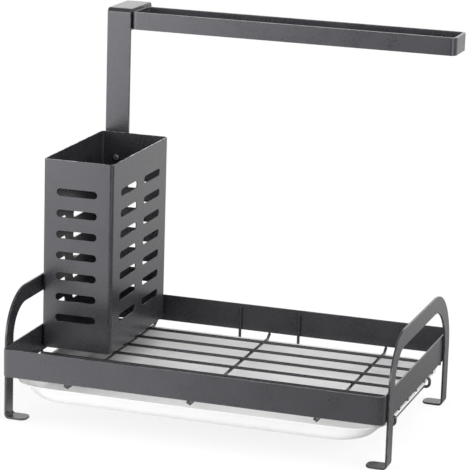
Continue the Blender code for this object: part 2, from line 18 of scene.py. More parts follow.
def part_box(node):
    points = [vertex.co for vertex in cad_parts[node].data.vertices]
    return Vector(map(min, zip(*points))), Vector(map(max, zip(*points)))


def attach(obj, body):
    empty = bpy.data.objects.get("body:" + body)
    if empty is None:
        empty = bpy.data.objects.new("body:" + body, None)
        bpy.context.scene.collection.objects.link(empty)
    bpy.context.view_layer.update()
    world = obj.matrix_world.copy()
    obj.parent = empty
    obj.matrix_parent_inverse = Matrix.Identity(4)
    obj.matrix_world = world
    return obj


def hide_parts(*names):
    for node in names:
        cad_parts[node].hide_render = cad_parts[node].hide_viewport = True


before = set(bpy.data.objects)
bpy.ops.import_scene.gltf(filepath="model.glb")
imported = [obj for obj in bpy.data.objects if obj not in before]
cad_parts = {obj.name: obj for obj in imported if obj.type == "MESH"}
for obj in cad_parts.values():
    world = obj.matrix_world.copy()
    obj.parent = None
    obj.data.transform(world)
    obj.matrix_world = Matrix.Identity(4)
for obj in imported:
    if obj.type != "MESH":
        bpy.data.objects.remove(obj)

logging.basicConfig(level=logging.INFO, format="%(message)s")
LOG = logging.getLogger("organizer")

MM = 0.001
NEAR = 0.02 * MM
OVERRUN = 1 * MM
FULL_ROUND_SHARE = 0.999
EDGE_MARK = "edge"
WHITE = (1.0, 1.0, 1.0, 1.0)
X_AXIS = Vector((1, 0, 0))
Y_AXIS = Vector((0, 1, 0))
Z_AXIS = Vector((0, 0, 1))
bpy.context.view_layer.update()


class Body(Enum):
    """The rigid bodies that pieces ride on."""

    ORGANIZER = "organizer"
    TRAY = "tray"


class Slot(Enum):
    """The material slots that pieces take."""

    STEEL = "powder_coated_steel"
    PLASTIC = "white_plastic"
    SCREWS = "screws"


class Side(Enum):
    """The organizer's two ends, as the sign of X."""

    LEFT = -1
    RIGHT = 1

    @property
    def label(self) -> str:
        """Return the end's name as nodes spell it."""
        return self.name.lower()


@dataclass(frozen=True)
class Span:
    """The room that a CAD node takes."""

    low: Vector
    high: Vector

    @classmethod
    def of(cls, node: str) -> "Span":
        """Return the span of a CAD node.

        Args:
            node: The node's name.

        Returns:
            Its lowest and highest corners.
        """
        low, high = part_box(node)
        return cls(Vector(low), Vector(high))

    @property
    def centre(self) -> Vector:
        """Return the middle of the span."""
        return (self.low + self.high) / 2

    @property
    def size(self) -> Vector:
        """Return the span's three lengths."""
        return self.high - self.low


class Signal:
    """A shader socket that ordinary arithmetic works on."""

    def __init__(self, paint: "Sketch", socket: bpy.types.NodeSocket) -> None:
        """Hold a socket and the tree it belongs to."""
        self.paint = paint
        self.socket = socket

    def _math(self, operation: str, first: "Signal | float", second: "Signal | float") -> "Signal":
        """Add a Math node and return its result."""
        node = self.paint.add("ShaderNodeMath", {"operation": operation}, {0: first, 1: second})
        return Signal(self.paint, node.outputs[0])

    def __add__(self, other: "Signal | float") -> "Signal":
        """Return self + other."""
        return self._math("ADD", self, other)

    def __radd__(self, other: float) -> "Signal":
        """Return other + self."""
        return self._math("ADD", other, self)

    def __sub__(self, other: "Signal | float") -> "Signal":
        """Return self - other."""
        return self._math("SUBTRACT", self, other)

    def __rsub__(self, other: float) -> "Signal":
        """Return other - self."""
        return self._math("SUBTRACT", other, self)

    def __mul__(self, other: "Signal | float") -> "Signal":
        """Return self * other."""
        return self._math("MULTIPLY", self, other)

    def __rmul__(self, other: float) -> "Signal":
        """Return other * self."""
        return self._math("MULTIPLY", other, self)

    def __neg__(self) -> "Signal":
        """Return the signal with its sign changed."""
        return 0.0 - self

    def turn_from(self, ahead: "Signal") -> "Signal":
        """Return the angle at which self lies off ahead."""
        return self._math("ARCTAN2", self, ahead)


class Sketch:
    """A shader node tree."""

    def __init__(self, tree: bpy.types.NodeTree) -> None:
        """Hold a node tree."""
        self.tree = tree

    def add(self, kind: str, settings: dict | None = None, sockets: dict | None = None) -> bpy.types.Node:
        """Add a node of any kind.

        Args:
            kind: The node's type name.
            settings: Its properties, set before its sockets.
            sockets: Values or signals by socket name or number.

        Returns:
            The new node.
        """
        node = self.tree.nodes.new(kind)
        for key, value in (settings or {}).items():
            setattr(node, key, value)
        self.feed(node, sockets or {})
        return node

    def feed(self, node: bpy.types.Node, sockets: dict) -> None:
        """Set a node's sockets to values, or link signals to them.

        Args:
            node: The node to feed.
            sockets: Values or signals by socket name or number.
        """
        for key, value in sockets.items():
            if isinstance(value, Signal):
                self.tree.links.new(value.socket, node.inputs[key])
            else:
                node.inputs[key].default_value = value

    def signal(self, node: bpy.types.Node, output: int | str = 0) -> Signal:
        """Return one of a node's outputs as a signal."""
        return Signal(self, node.outputs[output])

    def ramp(self, value: Signal, low: float, high: float) -> Signal:
        """Return a signal that rises smoothly from 0 at low to 1 at high."""
        node = self.add(
            "ShaderNodeMapRange",
            {"interpolation_type": "SMOOTHSTEP"},
            {"Value": value, "From Min": low, "From Max": high},
        )
        return self.signal(node)

    def between(self, factor: Signal, first: "Signal | float", second: "Signal | float") -> Signal:
        """Return first where the factor is 0 and second where it is 1."""
        return factor * (second - first) + first

    def axes(self, vector: Signal) -> tuple[Signal, Signal, Signal]:
        """Return a vector's three parts."""
        node = self.add("ShaderNodeSeparateXYZ", None, {0: vector})
        return self.signal(node, 0), self.signal(node, 1), self.signal(node, 2)

    def ray(self, kind: str) -> Signal:
        """Return 1 for rays of a kind and 0 for others."""
        return self.signal(self.add("ShaderNodeLightPath"), f"Is {kind} Ray")


class Paint(Sketch):
    """One material's node tree."""

    def __init__(self, name: str) -> None:
        """Start a material with an output and a Principled shader.

        Args:
            name: The material's name.
        """
        self.material = bpy.data.materials.new(name)
        self.material.use_nodes = True
        super().__init__(self.material.node_tree)
        self.shader = self.tree.nodes["Principled BSDF"]
        self.output = self.tree.nodes["Material Output"]

    def place(self) -> Signal:
        """Return the object coordinates."""
        return self.signal(self.add("ShaderNodeTexCoord"), "Object")

    def noise(self, grain: float, detail: float = 2.0, stretch: Vector | None = None) -> Signal:
        """Return a noise signal.

        Args:
            grain: The noise's feature size in metres.
            detail: Its octaves.
            stretch: Factors on the three axes, where the noise is drawn out.

        Returns:
            The noise, from 0 to 1.
        """
        place = self.place()
        if stretch is not None:
            mapping = self.add("ShaderNodeMapping", None, {"Vector": place, "Scale": stretch})
            place = self.signal(mapping)
        node = self.add(
            "ShaderNodeTexNoise", None, {"Vector": place, "Scale": 1 / grain, "Detail": detail}
        )
        return self.signal(node)

    def rounded_edges(self) -> Signal:
        """Return the mark that rounded edges carry."""
        return self.signal(self.add("ShaderNodeAttribute", {"attribute_name": EDGE_MARK}), "Fac")

    def blend(self, factor: Signal, first: Sequence | Signal, second: Sequence | Signal) -> Signal:
        """Return a colour between two others."""
        node = self.add(
            "ShaderNodeMix", {"data_type": "RGBA"}, {0: factor, 6: rgba(first), 7: rgba(second)}
        )
        return self.signal(node, 2)

    def bump(self, height: Signal, strength: float, distance: float) -> Signal:
        """Return a normal bent by a height signal."""
        node = self.add(
            "ShaderNodeBump", None, {"Height": height, "Strength": strength, "Distance": distance}
        )
        return self.signal(node)


def rgba(colour: "Sequence | Signal") -> "Sequence | Signal":
    """Return a colour with an alpha of 1, or a signal as it is."""
    return colour if isinstance(colour, Signal) else (*colour, 1.0)


@dataclass(frozen=True)
class PowderCoat:
    """Charcoal powder coat: fine orange peel, cloudy colour, and a pale tone along the edges that is
    partly thinner cover and partly a painted highlight.
    """

    colour: tuple[float, float, float] = (0.0195, 0.0190, 0.0225)
    cloud: tuple[float, float, float] = (0.0260, 0.0255, 0.0295)
    # Pale edge colour: partly thinner coat, partly a painted highlight line along the rounded edges; the
    # grain flecks use it too.
    edge: tuple[float, float, float] = (0.42, 0.42, 0.43)
    tint: tuple[float, float, float] = (0.965, 0.95, 1.0)
    roughness: float = 0.23
    shine: float = 0.57
    cloud_grain: float = 34 * MM
    peel_grain: float = 1.9 * MM
    grit_grain: float = 0.6 * MM
    wear_and_highlight_grain: float = 6 * MM
    wear_and_highlight_share: float = 0.18
    fleck: float = 0.045
    peel_share: float = 0.6
    bump_strength: float = 0.15
    bump_depth: float = 0.3 * MM

    def make(self) -> bpy.types.Material:
        """Return the material."""
        paint = Paint("powder_coat_charcoal")
        cloud = paint.ramp(paint.noise(self.cloud_grain, 3.0), 0.3, 0.7)
        peel = paint.noise(self.peel_grain, 2.0)
        grit = paint.noise(self.grit_grain, 1.0)
        # Wear mixed with painted highlight: rounded edge faces turn, in noisy patches, toward the pale
        # edge colour.
        wear_and_highlight = paint.rounded_edges() * paint.ramp(paint.noise(self.wear_and_highlight_grain, 3.0), 0.42, 0.62)
        colour = paint.blend(cloud, self.colour, self.cloud)
        colour = paint.blend(wear_and_highlight * self.wear_and_highlight_share, colour, self.edge)
        colour = paint.blend(paint.ramp(grit, 0.62, 0.78) * self.fleck, colour, self.edge)
        height = peel * self.peel_share + grit * (1 - self.peel_share)
        paint.feed(
            paint.shader,
            {
                "Base Color": colour,
                "Roughness": self.roughness + 0.08 * peel + 0.03 * cloud - 0.01 * wear_and_highlight,
                "Specular IOR Level": self.shine,
                "Specular Tint": rgba(self.tint),
                "Normal": paint.bump(height, self.bump_strength, self.bump_depth),
            },
        )
        return paint.material


@dataclass(frozen=True)
class MouldedPlastic:
    """White moulded plastic with a soft sheen and faint flow marks."""

    colour: tuple[float, float, float] = (0.80, 0.80, 0.80)
    flow: tuple[float, float, float] = (0.765, 0.765, 0.76)
    roughness: float = 0.28
    flow_grain: float = 90 * MM
    flow_stretch: tuple[float, float, float] = (0.35, 1.0, 1.0)
    skin_grain: float = 1.1 * MM
    bump_strength: float = 0.08
    bump_depth: float = 0.2 * MM

    def make(self) -> bpy.types.Material:
        """Return the material."""
        paint = Paint("moulded_white_plastic")
        flow = paint.ramp(paint.noise(self.flow_grain, 3.0, Vector(self.flow_stretch)), 0.35, 0.75)
        skin = paint.noise(self.skin_grain, 2.0)
        rough = self.roughness + 0.12 * skin + 0.05 * flow - 0.05 * paint.rounded_edges()
        paint.feed(
            paint.shader,
            {
                "Base Color": paint.blend(flow * 0.6, self.colour, self.flow),
                "Roughness": rough,
                "Normal": paint.bump(skin, self.bump_strength, self.bump_depth),
            },
        )
        return paint.material


@dataclass(frozen=True)
class ZincPlate:
    """Dark zinc plating on the screws and nuts, rubbed brighter where a driver turns them."""

    colour: tuple[float, float, float] = (0.13, 0.13, 0.14)
    rubbed: tuple[float, float, float] = (0.34, 0.34, 0.34)
    roughness: float = 0.26
    scuff_grain: float = 0.9 * MM
    scuff_stretch: tuple[float, float, float] = (1.0, 1.0, 3.0)
    bump_strength: float = 0.10
    bump_depth: float = 0.1 * MM

    def make(self) -> bpy.types.Material:
        """Return the material."""
        paint = Paint("zinc_plated_screws")
        scuff = paint.noise(self.scuff_grain, 3.0, Vector(self.scuff_stretch))
        rub = paint.ramp(scuff, 0.5, 0.7) * 0.4 + paint.rounded_edges() * 0.4
        paint.feed(
            paint.shader,
            {
                "Base Color": paint.blend(rub, self.colour, self.rubbed),
                "Metallic": 1.0,
                "Roughness": self.roughness + 0.18 * scuff,
                "Normal": paint.bump(scuff, self.bump_strength, self.bump_depth),
            },
        )
        return paint.material


def new_shape() -> bmesh.types.BMesh:
    """Return an empty bmesh that can mark its rounded edges."""
    shape = bmesh.new()
    shape.faces.layers.float.new(EDGE_MARK)
    return shape


def faces_in(geometry: Iterable) -> list[bmesh.types.BMFace]:
    """Return the faces among some geometry."""
    return [item for item in geometry if isinstance(item, bmesh.types.BMFace)]


def verts_in(geometry: Iterable) -> list[bmesh.types.BMVert]:
    """Return the vertices among some geometry."""
    return [item for item in geometry if isinstance(item, bmesh.types.BMVert)]


def round_edges(
    shape: bmesh.types.BMesh, width: float, segments: int = 2, steeper: float = 50.0
) -> None:
    """Round off a shape's sharp edges and mark what is rounded.

    Args:
        shape: The bmesh to work on.
        width: The rounding's width.
        segments: Its steps.
        steeper: Only edges that turn by more than this many degrees.
    """
    mark = shape.faces.layers.float[EDGE_MARK]
    limit = math.radians(steeper)
    edges = [
        edge for edge in shape.edges if edge.is_manifold and edge.calc_face_angle(0.0) > limit
    ]
    made = bmesh.ops.bevel(
        shape, geom=edges, offset=width, segments=segments, profile=0.5, affect="EDGES",
        material=-1, clamp_overlap=True,
    )
    for face in made["faces"]:
        face[mark] = 1.0


def outline(size_x: float, size_y: float, radius: float, steps: int) -> bmesh.types.BMesh:
    """Return one flat face with rounded corners, centred on the origin.

    Args:
        size_x: Length along X.
        size_y: Length along Y.
        radius: Corner radius.
        steps: Steps in each corner.

    Returns:
        The face.
    """
    shape = new_shape()
    bmesh.ops.create_grid(shape, x_segments=1, y_segments=1, size=0.5)
    bmesh.ops.scale(shape, vec=(size_x, size_y, 1), verts=shape.verts)
    bmesh.ops.bevel(
        shape, geom=shape.verts[:], offset=radius, segments=steps, profile=0.5,
        affect="VERTICES", material=-1,
    )
    return shape


def raise_up(shape: bmesh.types.BMesh, height: float) -> bmesh.types.BMesh:
    """Turn flat faces into a solid of some height, and return it."""
    grown = bmesh.ops.extrude_face_region(shape, geom=shape.faces[:])
    bmesh.ops.translate(shape, vec=(0, 0, height), verts=verts_in(grown["geom"]))
    bmesh.ops.recalc_face_normals(shape, faces=shape.faces)
    return shape


def band(span: Span, radius: float, wall: float, steps: int) -> bmesh.types.BMesh:
    """Return a strip bent into a closed upright band that fills a span.

    Args:
        span: The room that the band takes.
        radius: Its outer corner radius.
        wall: The strip's thickness.
        steps: Steps in each corner.

    Returns:
        The band.
    """
    shape = outline(span.size.x, span.size.y, radius, steps)
    inside = shape.faces[:]
    bmesh.ops.inset_region(
        shape, faces=inside, thickness=wall, use_even_offset=True, use_boundary=True
    )
    bmesh.ops.delete(shape, geom=inside, context="FACES_ONLY")
    raise_up(shape, span.size.z)
    base = Vector((span.centre.x, span.centre.y, span.low.z))
    bmesh.ops.translate(shape, vec=base, verts=shape.verts)
    return shape


class Bar:
    """A strip or wire that grows from its free end along a route."""

    def __init__(self, shape: bmesh.types.BMesh) -> None:
        """Hold a shape whose only face is the free end."""
        self.shape = shape
        self.end = shape.faces[:]

    @classmethod
    def strip(cls, start: Vector, across: Vector, through: Vector) -> "Bar":
        """Start a flat strip.

        Args:
            start: The middle of its first end.
            across: Its width, as a vector.
            through: Its thickness, as a vector.

        Returns:
            The bar, with no length yet.
        """
        shape = new_shape()
        bmesh.ops.create_grid(shape, x_segments=1, y_segments=1, size=0.5)
        turn = Matrix((across, through, across.cross(through).normalized())).transposed()
        bmesh.ops.transform(
            shape, matrix=Matrix.Translation(start) @ turn.to_4x4(), verts=shape.verts
        )
        return cls(shape)

    @classmethod
    def wire(cls, start: Vector, along: Vector, radius: float, sides: int = 16) -> "Bar":
        """Start a round wire.

        Args:
            start: The middle of its first end.
            along: The way it sets off.
            radius: The wire's radius.
            sides: Sides of its section.

        Returns:
            The bar, with no length yet.
        """
        shape = new_shape()
        bmesh.ops.create_circle(shape, cap_ends=True, segments=sides, radius=radius)
        turn = Z_AXIS.rotation_difference(along).to_matrix().to_4x4()
        bmesh.ops.transform(shape, matrix=Matrix.Translation(start) @ turn, verts=shape.verts)
        return cls(shape)

    def push(self, step: Vector, swell: float = 1.0) -> None:
        """Grow straight on, and widen or narrow the end about its middle.

        Args:
            step: How far, as a vector.
            swell: The end's new size over its old one.
        """
        grown = bmesh.ops.extrude_face_region(self.shape, geom=self.end)
        self.end = faces_in(grown["geom"])
        verts = verts_in(grown["geom"])
        bmesh.ops.translate(self.shape, vec=step, verts=verts)
        if swell != 1.0:
            middle = sum((vert.co for vert in verts), Vector()) / len(verts)
            bmesh.ops.scale(
                self.shape, vec=(swell,) * 3, space=Matrix.Translation(-middle), verts=verts
            )

    def bend(self, centre: Vector, axis: Vector, angle: float, steps: int) -> None:
        """Grow round a bend.

        Args:
            centre: A point on the bend's axis.
            axis: The axis to turn about.
            angle: How far to turn.
            steps: Steps in the bend.
        """
        turned = bmesh.ops.spin(
            self.shape, geom=self.end, cent=centre, axis=axis, dvec=(0, 0, 0), angle=angle,
            steps=steps, use_merge=False, use_duplicate=False,
        )
        self.end = faces_in(turned["geom_last"])

    def follow(self, route: Sequence[Vector], radii: Sequence[float], steps: int = 8) -> "Bar":
        """Grow along a route whose corners are turned into bends.

        Args:
            route: The corners of the middle line, its two ends among them.
            radii: The bend radius of the middle line at each inner corner.
            steps: Steps in each bend.

        Returns:
            This bar.
        """
        used = 0.0
        for index, radius in enumerate(radii, 1):
            before, here, after = route[index - 1], route[index], route[index + 1]
            arriving = (here - before).normalized()
            leaving = (after - here).normalized()
            angle = arriving.angle(leaving)
            axis = arriving.cross(leaving).normalized()
            reach = radius * math.tan(angle / 2)
            straight = (here - before).length - used - reach
            if straight > NEAR:
                self.push(arriving * straight)
            centre = here - arriving * reach + axis.cross(arriving) * radius
            self.bend(centre, axis, angle, steps)
            used = reach
        last = route[-1] - route[-2]
        self.push(last.normalized() * (last.length - used))
        return self

    def closed(self) -> bmesh.types.BMesh:
        """Return the finished shape, without the faces that growing left inside it."""
        inside = [
            face for face in self.shape.faces
            if all(len(edge.link_faces) > 2 for edge in face.edges)
        ]
        bmesh.ops.delete(self.shape, geom=inside, context="FACES_ONLY")
        bmesh.ops.recalc_face_normals(self.shape, faces=self.shape.faces)
        return self.shape


def stand(shape: bmesh.types.BMesh, name: str) -> bpy.types.Object:
    """Make a named object of a shape, which is used up, and return it."""
    mesh = bpy.data.meshes.new(name)
    shape.to_mesh(mesh)
    shape.free()
    thing = bpy.data.objects.new(name, mesh)
    bpy.context.scene.collection.objects.link(thing)
    return thing


def cut(
    shape: bmesh.types.BMesh, tool: bmesh.types.BMesh, operation: str = "DIFFERENCE"
) -> bmesh.types.BMesh:
    """Cut one shape with another, and use both up.

    Args:
        shape: What is cut.
        tool: What cuts.
        operation: The Boolean's operation.

    Returns:
        The cut shape.
    """
    blank, cutter = stand(shape, "blank"), stand(tool, "tool")
    modifier = blank.modifiers.new("cut", "BOOLEAN")
    modifier.operation = operation
    modifier.solver = "EXACT"
    modifier.object = cutter
    graph = bpy.context.evaluated_depsgraph_get()
    result = bmesh.new()
    result.from_mesh(blank.evaluated_get(graph).to_mesh())
    blank.evaluated_get(graph).to_mesh_clear()
    if EDGE_MARK not in result.faces.layers.float:
        result.faces.layers.float.new(EDGE_MARK)
    for used in (blank, cutter):
        mesh = used.data
        bpy.data.objects.remove(used)
        bpy.data.meshes.remove(mesh)
    return result


def round_hole(place: Vector, along: Vector, radius: float, depth: float) -> bmesh.types.BMesh:
    """Return a drill for one hole, centred on its place."""
    drill = Bar.wire(place - along * depth / 2, along, radius, 24)
    drill.push(along * depth)
    return drill.closed()


class Bench:
    """Turns finished shapes into named pieces that ride on the frame."""

    largest_faces_weight: int = 100

    def __init__(self) -> None:
        """Mix the finishes."""
        self.finishes = {
            Slot.STEEL: PowderCoat().make(),
            Slot.PLASTIC: MouldedPlastic().make(),
            Slot.SCREWS: ZincPlate().make(),
        }

    def set_out(
        self,
        name: str,
        shape: bmesh.types.BMesh,
        slot: Slot,
        stands_for: Sequence[str] = (),
        body: Body = Body.ORGANIZER,
        smooth: float = 50.0,
    ) -> bpy.types.Object:
        """Make a piece of a shape.

        Args:
            name: The piece's name.
            shape: The bmesh, which is used up.
            slot: The finish it takes.
            stands_for: The CAD nodes that it replaces.
            body: The body that it rides on.
            smooth: Edges that turn by more than this many degrees stay sharp.

        Returns:
            The piece.
        """
        piece = stand(shape, name)
        mesh = piece.data
        mesh.shade_smooth()
        mesh.set_sharp_from_angle(angle=math.radians(smooth))
        mesh.materials.append(self.finishes[slot])
        even = piece.modifiers.new("even_normals", "WEIGHTED_NORMAL")
        even.keep_sharp = True
        even.weight = self.largest_faces_weight
        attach(piece, body.value)
        if stands_for:
            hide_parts(*stands_for)
        LOG.info("%s: %d faces, stands for %s", name, len(mesh.polygons), list(stands_for) or "no node")
        return piece


@dataclass
class WireTray:
    """The rim and the wires welded under and inside it."""

    rim: Span = field(default_factory=lambda: Span.of("tray_rim"))
    wall: float = 1.5 * MM
    corner: float = 6.5 * MM
    wire: float = 2.8 * MM
    edge: float = 0.35 * MM
    long_wires: int = 7
    cross_wires: int = 3
    crank_flat: float = 2 * MM
    crank_run: float = 4.5 * MM
    crank_radius: float = 3 * MM
    hook_radii: tuple[float, float, float] = (2 * MM, 3.5 * MM, 2 * MM)
    hook_weld_inset: float = 1 * MM
    stop_weld_inset: float = 3 * MM
    bead: Vector = field(default_factory=lambda: Vector((1.3, 1.3, 0.8)) * MM)
    corner_steps: int = 10
    bend_steps: int = 6

    def build(self, bench: Bench, drill: bmesh.types.BMesh) -> None:
        """Make the tray.

        Args:
            bench: Where the pieces are set out.
            drill: The drill for the screw hole in the rim's rear.
        """
        rim = cut(band(self.rim, self.corner, self.wall, self.corner_steps), drill)
        round_edges(rim, self.edge)
        bench.set_out("rim_band", rim, Slot.STEEL, ["tray_rim"])
        self.make_long_wires(bench)
        self.make_cross_wires(bench)
        self.make_stops(bench)
        self.make_runners(bench)
        self.make_welds(bench)

    def rod(self, route: Sequence[Vector], radii: Sequence[float] = ()) -> bmesh.types.BMesh:
        """Return one wire bent along a route, with its cut ends eased."""
        bar = Bar.wire(route[0], (route[1] - route[0]).normalized(), self.wire / 2)
        shape = bar.follow(route, radii, self.bend_steps).closed()
        round_edges(shape, self.edge, steeper=60.0)
        return shape

    def straight_rod(self, node: str, along: Vector) -> bmesh.types.BMesh:
        """Return a straight wire as long as its CAD node along one axis."""
        span = Span.of(node)
        half = along * along.dot(span.size) / 2
        return self.rod([span.centre - half, span.centre + half])

    def make_long_wires(self, bench: Bench) -> None:
        """Make the wires that run along the tray."""
        for index in range(1, self.long_wires + 1):
            node = f"long_wire_{index}"
            shape = self.straight_rod(node, X_AXIS)
            bench.set_out(f"long_rod_{index}", shape, Slot.STEEL, [node])

    def make_cross_wires(self, bench: Bench) -> None:
        """Make the wires from front to rear, cranked up at both ends."""
        for index in range(1, self.cross_wires + 1):
            node = f"cross_wire_{index}"
            span = Span.of(node)
            x = span.centre.x
            high = span.high.z - self.wire / 2
            low = span.low.z + self.wire / 2
            stations = (
                (span.low.y, high),
                (span.low.y + self.crank_flat, high),
                (span.low.y + self.crank_flat + self.crank_run, low),
                (span.high.y - self.crank_flat - self.crank_run, low),
                (span.high.y - self.crank_flat, high),
                (span.high.y, high),
            )
            route = [Vector((x, y, z)) for y, z in stations]
            shape = self.rod(route, [self.crank_radius] * 4)
            bench.set_out(f"cross_rod_{index}", shape, Slot.STEEL, [node])

    def make_stops(self, bench: Bench) -> None:
        """Make the two upright wires inside the rear that stop the drip tray."""
        for side in Side:
            node = f"{side.label}_rear_stop"
            shape = self.straight_rod(node, Z_AXIS)
            bench.set_out(f"{side.label}_stop_rod", shape, Slot.STEEL, [node])

    def make_runners(self, bench: Bench) -> None:
        """Make the two hooked wires that carry the drip tray's lip."""
        half = self.wire / 2
        for side in Side:
            node = f"{side.label}_runner"
            span = Span.of(node)
            ends = (span.low.x, span.high.x)
            inner, outer = ends if side is Side.RIGHT else ends[::-1]
            inner += side.value * half
            outer -= side.value * half
            top, bottom = span.high.z - half, span.low.z + half
            weld = side.value * (self.rim.high.x - self.hook_weld_inset)
            hook = ((weld, top), (outer, top), (outer, bottom), (inner, bottom))
            front, rear = span.low.y + half, span.high.y - half
            route = [Vector((x, front, z)) for x, z in hook]
            route += [Vector((x, rear, z)) for x, z in reversed(hook)]
            radii = (*self.hook_radii, *self.hook_radii[::-1])
            bench.set_out(f"{side.label}_runner_rod", self.rod(route, radii), Slot.STEEL, [node])

    def make_welds(self, bench: Bench) -> None:
        """Make the small weld beads where wires meet one another and the rim."""
        long_spans = [Span.of(f"long_wire_{index}") for index in range(1, self.long_wires + 1)]
        cross_spans = [Span.of(f"cross_wire_{index}") for index in range(1, self.cross_wires + 1)]
        places = []
        for long_span in long_spans:
            for cross_span in cross_spans:
                places.append(Vector((cross_span.centre.x, long_span.centre.y, long_span.low.z)))
            for x in (long_span.low.x + self.wall, long_span.high.x - self.wall):
                places.append(Vector((x, long_span.centre.y, self.rim.low.z)))
        for cross_span in cross_spans:
            for y in (cross_span.low.y + self.wall, cross_span.high.y - self.wall):
                places.append(Vector((cross_span.centre.x, y, self.rim.low.z)))
        for side in Side:
            span = Span.of(f"{side.label}_runner")
            for y in (span.low.y + self.wire / 2, span.high.y - self.wire / 2):
                x = side.value * (self.rim.high.x - self.wall)
                places.append(Vector((x, y, self.rim.low.z)))
            stop = Span.of(f"{side.label}_rear_stop")
            for z in (self.rim.low.z + self.stop_weld_inset, stop.high.z - self.stop_weld_inset):
                places.append(Vector((stop.centre.x, stop.high.y, z)))
        shape = new_shape()
        size = Matrix.Diagonal((*self.bead, 1.0))
        for place in places:
            bmesh.ops.create_icosphere(
                shape, subdivisions=2, radius=1.0, matrix=Matrix.Translation(place) @ size
            )
        bench.set_out("weld_beads", shape, Slot.STEEL)


@dataclass
class SideArch:
    """One side frame: a flat arch of strip whose feet are bent in under the tray."""

    side: Side
    strip: float = 16 * MM
    thickness: float = 2 * MM
    front_radius: float = 45 * MM
    rear_radius: float = 62 * MM
    toe_bend: float = 2.5 * MM
    toe_corner: float = 6 * MM
    edge: float = 0.4 * MM
    bend_steps: int = 20
    toe_steps: int = 8

    def build(self, bench: Bench) -> None:
        """Make the side frame.

        Args:
            bench: Where the piece is set out.
        """
        name = f"{self.side.label}_arch"
        span = Span.of(name)
        sign = self.side.value
        outside = span.high.x if sign > 0 else span.low.x
        toe = span.low.x if sign > 0 else span.high.x
        x = outside - sign * self.thickness / 2
        half = self.strip / 2
        front, rear = span.low.y + half, span.high.y - half
        top, sole = span.high.z - half, self.thickness / 2
        stations = (
            (toe, front, sole), (x, front, sole), (x, front, top),
            (x, rear, top), (x, rear, sole), (toe, rear, sole),
        )
        route = [Vector(station) for station in stations]
        bend = self.toe_bend + self.thickness / 2
        radii = (bend, self.front_radius - half, self.rear_radius - half, bend)
        bar = Bar.strip(route[0], Y_AXIS * self.strip, Z_AXIS * self.thickness)
        shape = bar.follow(route, radii, self.bend_steps).closed()
        tips = [
            edge for edge in shape.edges
            if all(abs(vert.co.x - toe) < NEAR for vert in edge.verts)
            and abs(edge.verts[0].co.z - edge.verts[1].co.z) > self.thickness / 2
        ]
        bmesh.ops.bevel(
            shape, geom=tips, offset=self.toe_corner, segments=self.toe_steps, profile=0.5,
            affect="EDGES", material=-1,
        )
        round_edges(shape, self.edge, 3)
        bench.set_out(f"{name}_strip", shape, Slot.STEEL, [name])


